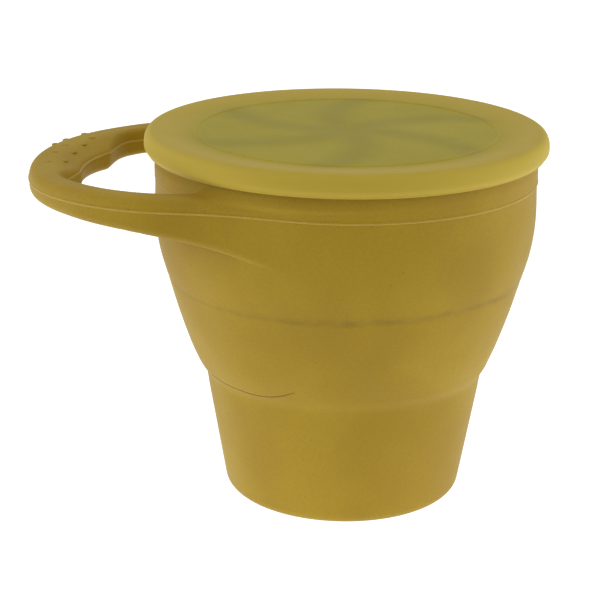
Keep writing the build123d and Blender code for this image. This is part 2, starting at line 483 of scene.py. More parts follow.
@dataclass(frozen=True)
class FoldedSilicone(MouldedSilicone):
    """The cup's silicone, with shade painted along the fold line.

    It gives the eye a broken, blurred dark line of painted shade round the cup, in clumps of a millimetre.
    """

    fold_z_mm: float = 52.4
    climb_mm: float = 0.8
    climb_reach_mm: float = 41.0
    half_width_mm: float = 1.3
    strength: float = 0.42
    wobble_mm: float = 0.22
    wobble_size_mm: float = 3.0
    clump_size_mm: float = 4.5
    clump_least: float = 0.25
    faint_side_mm: tuple = (-36.0, -10.0)
    faint_share: float = 0.4
    # colour of the shade painted along the fold line
    fold_shade: str = "6f5822"

    def mark(self, tree: bpy.types.NodeTree, place, colour):
        """Paint shade along the fold line, which climbs a little towards +X and is fainter towards the
        handle.
        """
        axes = add_node(tree, "ShaderNodeSeparateXYZ", None, {0: place}).outputs
        reach, wobble = self.climb_reach_mm * MM, self.wobble_mm * MM
        climb = self.spread(tree, axes["X"], -reach, reach, 0.0, self.climb_mm * MM)
        height = self.work_out(tree, "SUBTRACT", axes["Z"], climb)
        waver = self.noise(tree, place, self.wobble_size_mm, 2.0)
        waver = self.spread(tree, waver, *CLOUDY, -wobble, wobble)
        height = self.work_out(tree, "ADD", height, waver)
        height = self.work_out(tree, "SUBTRACT", height, self.fold_z_mm * MM)
        away = self.work_out(tree, "ABSOLUTE", height)
        line = self.spread(tree, away, 0.0, self.half_width_mm * MM, self.strength, 0.0)
        clumps = self.noise(tree, place, self.clump_size_mm, 4.0)
        clumps = self.spread(tree, clumps, *CLOUDY, self.clump_least, 1.0)
        share = self.work_out(tree, "MULTIPLY", line, clumps)
        # the painted fold shade is fainter towards the handle
        start, stop = (side * MM for side in self.faint_side_mm)
        faint = self.spread(tree, axes["X"], start, stop, self.faint_share, 1.0)
        share = self.work_out(tree, "MULTIPLY", share, faint)
        return self.mix(tree, share, colour, linear(self.fold_shade))


@dataclass(frozen=True)
class FrostedSilicone(MouldedSilicone):
    """Thin translucent silicone rubber, moulded with a frosted skin.

    It gives the eye a hazy, slightly greyer mustard that glows a little, with the shade of the
    slits in the lid below painted on as six soft dark bands, a fuller colour towards the rim,
    and painted light on the rim's outer side.
    """

    rim_colour: str = "ae9630"
    rim_fade_mm: tuple = (31.5, 41.5)
    # lighter colour on the rim's outer side: painted light, so the side reads as bright as the crest
    painted_side_light: str = "bca43a"
    painted_side_light_fade_mm: tuple = (44.0, 45.5)
    # colour and strength of the slits' shade painted into the panel
    slit_shade_colour: str = "787020"
    slit_shade_share: float = 0.36
    arm_count: int = 6
    arm_reach_mm: float = 36.4
    arm_bow: float = 0.692
    arm_angle: float = 20.0
    arm_half_width_mm: float = 7.5
    arm_end_mm: float = 2.0
    arm_end_share: float = 0.35
    glow: float = 0.4
    glow_mm: float = 2.5

    def mark(self, tree: bpy.types.NodeTree, place, colour):
        """Paint the slits' shade into the panel, make the colour fuller towards the rim and paint light onto
        the rim's outer side.
        """
        radius = self.from_axis(tree, place)
        share = self.work_out(tree, "MULTIPLY", self.painted_slit_shade(tree, place, radius), self.slit_shade_share)
        colour = self.mix(tree, share, colour, linear(self.slit_shade_colour))
        for tone, (start, stop) in (
            (self.rim_colour, self.rim_fade_mm),
            (self.painted_side_light, self.painted_side_light_fade_mm),
        ):
            share = self.spread(tree, radius, start * MM, stop * MM, 0.0, 1.0)
            colour = self.mix(tree, share, colour, linear(tone))
        return colour

    def painted_slit_shade(self, tree: bpy.types.NodeTree, place, radius):
        """Share of painted shadow from the bowed slits, 1 on their middles."""
        axes = add_node(tree, "ShaderNodeSeparateXYZ", None, {0: place}).outputs
        reach, end, half = self.arm_reach_mm * MM, self.arm_end_mm * MM, math.pi / self.arm_count
        inwards = self.work_out(tree, "MULTIPLY_ADD", radius, -1 / reach, 1.0)
        bow = self.work_out(tree, "ARCTANGENT", self.work_out(tree, "MULTIPLY", inwards, self.arm_bow))
        turn = self.work_out(tree, "ARCTAN2", axes["Y"], axes["X"])
        turn = self.work_out(tree, "SUBTRACT", turn, bow)
        turn = self.work_out(tree, "SUBTRACT", turn, math.radians(self.arm_angle))
        turn = self.work_out(tree, "WRAP", turn, half, -half)
        away = self.work_out(tree, "MULTIPLY", self.work_out(tree, "SINE", turn), radius)
        away = self.work_out(tree, "ABSOLUTE", away)
        arm = self.spread(tree, away, 0.0, self.arm_half_width_mm * MM, 1.0, 0.0)
        ends = self.spread(tree, radius, reach - end, reach + end, 1.0, self.arm_end_share)
        return self.work_out(tree, "MULTIPLY", arm, ends)


# the cup's silicone, with painted shade along the fold line
CUP_SILICONE = FoldedSilicone("moulded_silicone_cup", "a98b1e", "9f801a")
# lighter silicone for the raised mould line: the highlight it catches is painted into its colour
MOULD_LINE_HIGHLIGHT_SILICONE = MouldedSilicone(
    "moulded_silicone_mould_line_painted_highlight", "bb9d3e", "b59738", roughness=0.5, grain_height_mm=0.0
)
# darker silicone for the faces along the crease line: painted shade in the crease
CREASE_SHADE_SILICONE = MouldedSilicone("moulded_silicone_painted_crease_shade", "86692a", "7d6226")
FLAP_SILICONE = MouldedSilicone("moulded_silicone_flaps", "b0954a", "a68c42")
COVER_SILICONE = FrostedSilicone("frosted_silicone_cover", "a2941f", "9c8e19", roughness=0.62)


# ---------------------------------------------------------------- cup


@dataclass
class Cup:
    """The folding cup with its loop handle, one moulded skin."""

    material: bpy.types.Material
    # lighter finish for the mould line, a painted highlight
    mould_line_highlight_material: bpy.types.Material
    # dark finish that paints the crease line's shade
    crease_shade_material: bpy.types.Material
    foot_radius: float = 27.34
    foot_edge: float = 2.9
    base_lean: float = 0.1723
    base_shift: float = 0.2
    crease_z: float = 30.6
    fold_z: float = 52.5
    rim_z: float = 82.0
    parting_z: float = 75.2
    rim_radius: float = 43.4
    wall_heights: tuple = (
        26.0, 27.0, 28.5, 29.6, 30.4, 31.2, 32.0, 33.0, 35.0, 39.0, 44.0, 49.0, 52.5, 57.0, 61.0, 65.0,
        68.0, 70.0, 73.0,
    )
    wall_radii: tuple = (
        31.76, 31.94, 32.2, 32.52, 32.96, 33.47, 33.93, 34.37, 35.22, 36.7, 38.36, 39.84, 40.82, 42.14,
        42.98, 43.42, 43.53, 43.5, 43.4,
    )
    crease_angles: tuple = (203.5, 210.4, 216.7, 223.7, 229.7, 234.7, 240.6, 246.2, 250.9)
    crease_heights: tuple = (31.26, 31.21, 31.02, 31.06, 31.0, 31.17, 31.68, 32.75, 34.03)
    crease_depth: float = 0.16
    crease_half_width: float = 0.12
    crease_run_out: float = 2.77
    crease_reach: tuple = (27.5, 31.0, 31.6, 41.6)
    rim_wall: float = 2.4
    fold_wall: float = 1.6
    base_wall: float = 2.4
    floor: float = 2.6
    loop_x: float = -35.75
    loop_radius: float = 36.18
    grip_inner: float = 24.4
    arm_inner: float = 30.2
    grip_turn: float = 17.0
    grip_angle: float = 19.0
    arm_angle: float = 41.0
    arm_ease: float = 0.45
    grip_flat_inner: float = 30.0
    grip_slope: float = 2.4
    rise: float = 2.8
    front_rise: float = 0.2
    drop: float = 3.5
    arm_drop: float = 0.5
    flare_radius: float = 100.0
    end_fade: float = 0.1
    web_start: float = -62.0
    web_radius: float = 138.0
    web_length: float = 60.0
    under_tilt: float = 0.34
    under_tilt_band: tuple = (1.0, 7.0)
    slope_round: float = 0.5
    outer_round: float = 2.3
    under_round: tuple = (2.1, 1.9)
    inner_round: float = 1.3
    inner_under_round: tuple = (1.7, 0.7)
    lift_sides: tuple = (-38.0, -27.0, -16.0, -6.0, 2.0, 12.0, 25.0, 30.0, 34.0, 38.0)
    lift_heights: tuple = (0.0, -0.12, -0.38, -0.3, 0.1, 0.45, 0.9, 1.15, 1.5, 1.7)
    lift_fade: float = 14.0
    parting_step: float = 0.12
    rim_setback: float = 0.17
    nick_depth: float = 0.1
    nick_above: float = 0.52
    nick_half_width: float = 0.16
    groove_depth: float = 0.07
    groove_half_width: float = 0.45
    root_fillet: float = 1.1
    top_fillet: float = 3.2
    bead: float = 0.3
    bead_proud: float = 0.2
    window: tuple = (61.6, 80.4)
    wall: SmoothCurve = field(init=False)

    def __post_init__(self) -> None:
        """Prepare the wall's and the handle's curves and the flare's centre."""
        self.wall = SmoothCurve(self.wall_heights, self.wall_radii)
        self.arm_lift = SmoothCurve(self.lift_sides, self.lift_heights)
        self.end_radius = self.rim_radius + 0.1
        from_loop = self.loop_radius + self.flare_radius
        from_axis = self.end_radius + self.flare_radius
        x = (from_loop**2 - from_axis**2 - self.loop_x**2) / (-2 * self.loop_x)
        self.flare = (x, math.sqrt(from_axis**2 - x**2))

    def wall_radius(self, z: np.ndarray) -> np.ndarray:
        """Outside radius of the fold and rim sections at height z."""
        above = z - self.parting_z
        step = self.parting_step * fade(above, -0.15, 0.15) - self.rim_setback * fade(above, 3.0, 5.2)
        nick = self.nick_depth * dent(above, self.nick_above, self.nick_half_width)
        groove = self.groove_depth * dent(z, self.fold_z, self.groove_half_width)
        return self.wall(z) + step - nick - groove

    def lift(self, x: np.ndarray, y: np.ndarray) -> np.ndarray:
        """How far the back arm is bent up from the handle's plane."""
        clear = fade(np.hypot(x, y), self.rim_radius, self.rim_radius + self.lift_fade)
        return self.arm_lift(y) * clear

    def outer_distance(self, x: np.ndarray, y: np.ndarray) -> np.ndarray:
        """Distance in plan from the handle's outer outline."""
        side, (cx, cy) = np.abs(y), self.flare
        loop = np.hypot(x - self.loop_x, y) - self.loop_radius
        flare = self.flare_radius - np.hypot(x - cx, side - cy)
        past = np.clip(math.atan2(cy, cx) - np.arctan2(side, x), 0.0, None) * self.end_radius
        cup = np.hypot(x, y) - self.end_radius + self.end_fade * past
        on_loop = (cx - self.loop_x) * side - cy * (x - self.loop_x) > 0
        on_flare = cx * side - cy * x > 0
        return np.where(on_loop, loop, np.where(on_flare, flare, cup))

    def inner_distance(self, x: np.ndarray, y: np.ndarray) -> np.ndarray:
        """Distance in plan from the finger gap, above zero in the gap."""
        along = np.degrees(np.arctan2(y, self.loop_x - x)) - self.grip_turn
        along = np.abs((along + 180) % 360 - 180)
        share = np.clip((along - self.grip_angle) / (self.arm_angle - self.grip_angle), 0, 1)
        share = (1 - self.arm_ease) * share + self.arm_ease * smooth_step(share)
        edge = self.grip_inner + (self.arm_inner - self.grip_inner) * share
        return edge - np.hypot(x - self.loop_x, y)

    def handle_distance(self, x: np.ndarray, y: np.ndarray, z: np.ndarray) -> np.ndarray:
        """Distance from the handle, below zero inside it."""
        level = z - self.lift(x, y)
        outer, inner = self.outer_distance(x, y), self.inner_distance(x, y)
        crest = self.parting_z + self.rise + self.front_rise * fade(-y, 8.0, 22.0)
        lean = math.atan2(self.grip_slope, self.grip_flat_inner - self.grip_inner)
        from_loop = np.hypot(x - self.loop_x, y)
        slope = (self.grip_flat_inner - from_loop) * math.sin(lean) + (level - crest) * math.cos(lean)
        top = round_both(level - crest, slope, self.slope_round)
        run = np.clip(x - self.web_start, 0.0, self.web_length)
        sag = self.web_radius - np.sqrt(self.web_radius**2 - run**2)
        sag = sag + self.arm_drop * fade(x, -68.0, -52.0)
        start, stop = self.under_tilt_band
        tilt = self.under_tilt * fade(x, -57.0, -45.0)
        under = self.parting_z - self.drop - sag - level
        under = under + tilt * np.clip(-outer - start, 0.0, stop - start)
        near = fade(x, -60.0, -38.0)
        outside = round_both(outer, top, self.outer_round)
        outside = round_both(outside, under, between(*self.under_round, near))
        inside = round_both(inner, top, self.inner_round)
        inside = round_both(inside, under, between(*self.inner_under_round, near))
        return np.maximum(outside, inside)

    def distance(self, points: np.ndarray) -> np.ndarray:
        """Distance from the outside skin where the handle joins, below zero inside."""
        x, y, z = points[..., 0], points[..., 1], points[..., 2]
        wall = np.hypot(x, y) - self.wall_radius(z)
        height = z - self.parting_z
        share = between(0.12, 0.6, fade(height, -3.0, 0.0))
        fillet = np.clip(-share * self.outer_distance(x, y), 0.02, self.root_fillet)
        on_top = fade(height, 1.2, 2.8) * fade(-self.inner_distance(x, y), -4.0, 5.0)
        fillet = between(fillet, self.top_fillet, on_top)
        return fillet_either(wall, self.handle_distance(x, y, z), fillet)

    def settle(self, points: np.ndarray, flat: bool = False) -> tuple[np.ndarray, np.ndarray]:
        """Move points onto the skin.

        Args:
            points: Points near it.
            flat: Whether to move them level only.

        Returns:
            The moved points and the skin's unit directions there.
        """
        step, longest, rounds = 0.02, 0.4, 3
        slopes = np.zeros_like(points)
        for turn in range(rounds + 1):
            for axis in range(3):
                shift = np.zeros(3)
                shift[axis] = step
                rise = self.distance(points + shift) - self.distance(points - shift)
                slopes[:, axis] = rise / (2 * step)
            if flat:
                slopes[:, 2] = 0.0
            if turn < rounds:
                steep = np.maximum((slopes**2).sum(1), 0.2)
                move = -self.distance(points)[:, None] * slopes / steep[:, None]
                points = points + np.clip(move, -longest, longest)
        return points, slopes / np.linalg.norm(slopes, axis=1)[:, None]

    def grids(self) -> tuple[np.ndarray, np.ndarray, np.ndarray]:
        """Angles, heights and distances from the wall at which the handle's zone is sampled."""
        handle_side, plain_side = np.arange(92, 268, 0.75), np.arange(268, 451, 2.0)
        turns = np.radians(np.concatenate([handle_side, plain_side]))
        heights = np.arange(*self.window, 0.36)
        line = self.parting_z + np.array([-0.45, -0.22, -0.08, 0.08, 0.22, 0.45])
        heights = heights[np.abs(heights - self.parting_z) > 0.5]
        heights = np.sort(np.concatenate([heights, line]))
        out = np.arange(-0.75, 29.8, 0.45)
        return turns, heights, out

    def handle_zone(self, skin: SkinBuilder) -> tuple[np.ndarray, np.ndarray, np.ndarray]:
        """Skin the wall and handle together.

        Args:
            skin: What the skin is added to.

        Returns:
            Numbers of the lowest and highest rings' corners, and the columns' angles.
        """
        turns, heights, out = self.grids()
        a, z, s = np.meshgrid(turns, heights, out, indexing="ij")
        r = self.wall_radius(z) + s
        values = self.distance(np.stack([r * np.cos(a), r * np.sin(a), z], axis=-1))
        places, number, faces = wrap_net(values)
        turns_wrapped = np.append(turns, turns[0] + 2 * math.pi)
        a = np.interp(places[:, 0], np.arange(len(turns_wrapped)), turns_wrapped)
        z = np.interp(places[:, 1], np.arange(len(heights)), heights)
        r = self.wall_radius(z) + np.interp(places[:, 2], np.arange(len(out)), out)
        points, _ = self.settle(np.column_stack([r * np.cos(a), r * np.sin(a), z]))
        numbers = skin.add(points)
        skin.faces += (np.array(faces) + numbers[0]).tolist()
        low = numbers[number[:, 0, :].max(axis=1)]
        high = numbers[number[:, -1, :].max(axis=1)]
        return low, high, a[number[:, 0, :].max(axis=1)]

    def profile_below(self) -> list:
        """Outside from under the foot up to the handle's zone."""
        lean = math.hypot(1.0, self.base_lean)
        edge = self.foot_edge
        centre = (self.foot_radius + self.base_lean * edge - edge * lean, edge)
        rows = [(r, 0.0) for r in (5.0, 11.0, 16.5, 20.5, 23.0)]
        rows += arc(centre, edge, -90, -math.degrees(math.atan(self.base_lean)), 10)
        rows += [(self.foot_radius + self.base_lean * z, z) for z in np.linspace(4.6, 25.5, 9)]
        line = self.crease_heights[0] + np.array([-0.34, -0.17, -0.06, 0.06, 0.17, 0.34])
        heights = [
            *np.arange(26.5, 30.8, 0.45), *line, *np.arange(31.9, 36.0, 0.5), *np.arange(36.4, 51.2, 0.8)
        ]
        heights += [*np.arange(51.4, 53.8, 0.3), *np.arange(54.2, self.window[0], 0.8)]
        return rows + [(float(self.wall_radius(np.array(z))), z) for z in heights]

    def profile_above(self) -> list:
        """From the handle's zone over the rim, down the inside and to the floor."""
        outer = float(self.wall_radius(np.array(81.0)))
        mouth = self.rim_radius - self.rim_wall
        rows = [(outer, 80.8), (outer, 81.3)]
        rows += arc((outer - 0.6, self.rim_z - 0.6), 0.6, 0, 90, 5)
        rows += arc((mouth + 0.6, self.rim_z - 0.6), 0.6, 90, 180, 5)
        rows += [(mouth, z) for z in np.arange(80.6, 68.5, -1.2)]
        for z in np.arange(68.0, 53.4, -1.0):
            rows.append((float(self.wall(np.array(z))) - self.rim_wall, z))
        for z in [53.2, 52.9, 52.5, 52.1, 51.7, 51.3, *np.arange(50.5, 32.9, -0.8)]:
            wall = self.fold_wall + (self.rim_wall - self.fold_wall) * float(
                smooth_step(np.array((z - 51.4) / 1.6))
            )
            rows.append((float(self.wall(np.array(z))) - wall, z))
        inner = self.foot_radius - self.base_wall
        rows += [(32.1, 32.2), (31.55, 31.4), (31.0, 30.8), (30.5, 30.2), (30.1, 29.5)]
        rows += [(inner + self.base_lean * z, z) for z in np.linspace(28.2, 6.5, 10)]
        rows += arc((inner + self.base_lean * 5.1 - 2.54, 5.1), 2.5, -9, -90, 7)
        rows += [(r, self.floor) for r in (19.5, 15.0, 10.0, 5.0)]
        return rows

    def crease_ring(self, skin: SkinBuilder, radius: float, height: float, turns: np.ndarray) -> np.ndarray:
        """Add a ring of the outside, led along the crease line where it is near it.

        Args:
            skin: What it is added to.
            radius: Its radius.
            height: Its height before it is led.
            turns: Angles of its corners.

        Returns:
            Numbers of its corners.
        """
        level, past = self.crease_heights[0], self.crease_angles[-1]
        angle = np.degrees(turns) % 360
        climb = np.interp(angle, self.crease_angles, self.crease_heights, level, level) - level
        climb = np.where(angle > past, self.crease_run_out * (1 - fade(angle, past, past + 30.0)), climb)
        low, lower, upper, high = self.crease_reach
        z = height + climb * fade(height, low, lower) * (1 - fade(height, upper, high))
        seen = fade(angle, 200.0, 205.0) * fade(-angle, -past, 5.0 - past)
        cut = self.crease_depth * dent(height, level, self.crease_half_width) * seen
        moved = self.wall_radius(z) if height > self.wall_heights[0] else radius
        off = self.base_shift * (1 - fade(z, 28.0, 35.0))
        x, y = (moved - cut) * np.cos(turns), (moved - cut) * np.sin(turns)
        return skin.add(np.column_stack([x + off, y, z]))

    def parting_paths(self) -> list[np.ndarray]:
        """The mould line round cup and handle, and round the finger gap.

        Returns:
            Closed paths of points near the skin.
        """
        cx, cy = self.flare
        meet, leave = math.atan2(cy, cx), math.atan2(cy, cx - self.loop_x)
        cup = circle((0.0, 0.0), self.end_radius, meet, -meet, 200)
        flare = circle(self.flare, self.flare_radius, meet + math.pi, leave + math.pi, 44)[1:-1]
        loop = circle((self.loop_x, 0.0), self.loop_radius, 2 * math.pi - leave, leave, 240)
        ahead = np.concatenate([cup, flare * [1, -1], loop, flare[::-1]])
        ahead = np.column_stack([ahead, np.full(len(ahead), self.parting_z)])
        gap_angle = 137.5
        gap = []
        for t in np.radians(np.linspace(180 - gap_angle, 180 + gap_angle, 260)):
            direction = np.array([math.cos(t), math.sin(t)])
            reach = self.arm_inner
            for _ in range(6):
                spot = np.array([self.loop_x, 0.0]) + direction * reach
                reach += float(self.inner_distance(spot[0], spot[1]))
            gap.append([*(np.array([self.loop_x, 0.0]) + direction * reach), self.parting_z])
        return [ahead, np.array(gap)]

    def add_bead(self, skin: SkinBuilder, path: np.ndarray, closed: bool) -> None:
        """Lay a fine raised line along a path on the skin.

        Args:
            skin: What it is added to.
            path: Points near the skin.
            closed: Whether its ends join.
        """
        for _ in range(3):
            path[:, 2] = self.parting_z + self.lift(path[:, 0], path[:, 1])
            path, out = self.settle(path, flat=True)
            for values in (path, out):
                spread = (np.roll(values, 1, 0) + 2 * values + np.roll(values, -1, 0)) / 4
                values[1:-1] = spread[1:-1]
        path = path - out * (self.bead - self.bead_proud)
        rings = []
        for turn in np.linspace(0, 2 * math.pi, 7)[:-1]:
            up = np.array([0.0, 0.0, math.sin(turn)])
            rings.append(skin.add(path + self.bead * (math.cos(turn) * out + up)))
        for one, two in zip(rings, rings[1:] + rings[:1]):
            quads = np.column_stack([one, np.roll(one, -1), np.roll(two, -1), two])
            skin.faces += (quads if closed else quads[:-1])[:, ::-1].tolist()
        if not closed:
            skin.faces.append([ring[0] for ring in rings])
            skin.faces.append([ring[-1] for ring in rings][::-1])

    def paint_crease_shade(self, skin: SkinBuilder, turns: np.ndarray) -> None:
        """Give the crease line's part of the last band the dark finish, which paints shade into the crease.
        """
        angle = np.degrees(turns) % 360
        start = len(skin.faces) - len(turns)
        hits = np.nonzero((angle > self.crease_angles[0]) & (angle < self.crease_angles[-1]))[0]
        skin.spots += [(start + int(i), 2) for i in hits]

    def build(self) -> list[bpy.types.Object]:
        """Make the cup, with its placing baked into its corners.

        Returns:
            The pieces made.
        """
        skin = SkinBuilder()
        low, high, turns = self.handle_zone(skin)
        below, level = self.profile_below(), self.crease_heights[0]
        rings = [skin.ring(r, z, turns) for r, z in below[:5]]
        rings += [self.crease_ring(skin, r, z, turns) for r, z in below[5:]]
        for one, two, (_, z) in zip(rings, rings[1:], below):
            skin.band(one, two)
            # the band along the crease line takes the dark finish, painted shade in the crease
            if abs(z + 0.06 - level) < 0.2:
                self.paint_crease_shade(skin, turns)
        skin.band(rings[-1], low)
        skin.cap(rings[0], (0.0, 0.0, 0.0), up=False)
        rings = [high] + [skin.ring(r, z, turns) for r, z in self.profile_above()]
        for one, two in zip(rings, rings[1:]):
            skin.band(one, two)
        skin.cap(rings[-1], (0.0, 0.0, self.floor), up=True)
        outline, gap = self.parting_paths()
        # the mould-line beads take the lighter finish, a painted highlight
        skin.mark(1)
        self.add_bead(skin, outline, closed=True)
        self.add_bead(skin, gap, closed=False)
        cup = skin.piece("snack_cup_skin", self.material, self.mould_line_highlight_material, self.crease_shade_material)
        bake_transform(cup)
        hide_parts("cup_base", "cup_fold_wall", "cup_rim_wall", "handle_loop")
        return [cup]


# ---------------------------------------------------------------- grip dots


@dataclass
class GripDots:
    """Small round bumps on top of the grip, for a surer hold."""

    cup: Cup
    material: bpy.types.Material
    width: float = 1.9
    height: float = 0.34
    sunk: float = 0.1
    polar: tuple = (
        (32.0, -3.8), (32.0, 10.0), (32.0, 21.7), (28.6, 1.4), (28.6, 16.1),
        (29.4, 28.5), (30.9, 37.7), (34.8, 22.5), (34.8, 30.0), (34.8, 40.7),
    )

    def places(self) -> np.ndarray:
        """Points on the grip's top, one for each dot."""
        spots = []
        for radius, angle in self.polar:
            turn = math.radians(angle)
            x, y = self.cup.loop_x - radius * math.cos(turn), radius * math.sin(turn)
            heights = np.arange(self.cup.parting_z + 0.2, self.cup.parting_z + 4.5, 0.02)
            column = np.column_stack([np.full_like(heights, x), np.full_like(heights, y), heights])
            spots.append(column[np.nonzero(self.cup.distance(column) < 0)[0][-1]])
        return np.array(spots)

    def group(self) -> bpy.types.NodeTree:
        """Geometry nodes that set a flattened ball on every corner."""
        tree = bpy.data.node_groups.new("grip_dots", "GeometryNodeTree")
        sockets = tree.interface
        sockets.new_socket("Geometry", in_out="INPUT", socket_type="NodeSocketGeometry")
        sockets.new_socket("Width", in_out="INPUT", socket_type="NodeSocketFloat")
        sockets.new_socket("Height", in_out="INPUT", socket_type="NodeSocketFloat")
        sockets.new_socket("Finish", in_out="INPUT", socket_type="NodeSocketMaterial")
        sockets.new_socket("Geometry", in_out="OUTPUT", socket_type="NodeSocketGeometry")
        given = add_node(tree, "NodeGroupInput").outputs
        ball = add_node(
            tree, "GeometryNodeMeshUVSphere", None, {"Segments": 20, "Rings": 12, "Radius": 0.5}
        ).outputs["Mesh"]
        scale = add_node(
            tree,
            "ShaderNodeCombineXYZ",
            None,
            {0: given["Width"], 1: given["Width"], 2: given["Height"]},
        ).outputs[0]
        copies = add_node(
            tree,
            "GeometryNodeInstanceOnPoints",
            None,
            {"Points": given["Geometry"], "Instance": ball, "Scale": scale},
        ).outputs[0]
        whole = add_node(tree, "GeometryNodeRealizeInstances", None, {"Geometry": copies}).outputs[0]
        dressed = add_node(
            tree, "GeometryNodeSetMaterial", None, {"Geometry": whole, "Material": given["Finish"]}
        ).outputs[0]
        add_node(tree, "NodeGroupOutput", None, {"Geometry": dressed})
        return tree

    def build(self) -> list[bpy.types.Object]:
        """Make the dots and attach them to the rim section."""
        spots = add_piece("grip_dots", self.places() - [0, 0, self.sunk], [], [self.material])
        modifier = spots.modifiers.new("dots", "NODES")
        modifier.node_group = self.group()
        values = {"Width": self.width * MM, "Height": 2 * self.height * MM, "Finish": self.material}
        for item in modifier.node_group.interface.items_tree:
            if item.name in values:
                modifier[item.identifier] = values[item.name]
        seen = spots.evaluated_get(bpy.context.evaluated_depsgraph_get())
        mesh = bpy.data.meshes.new_from_object(seen)
        spots.modifiers.clear()
        spots.data = mesh
        mesh.polygons.foreach_set("use_smooth", [True] * len(mesh.polygons))
        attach(spots, Body.RIM.value)
        return [spots]


# ---------------------------------------------------------------- flap lid


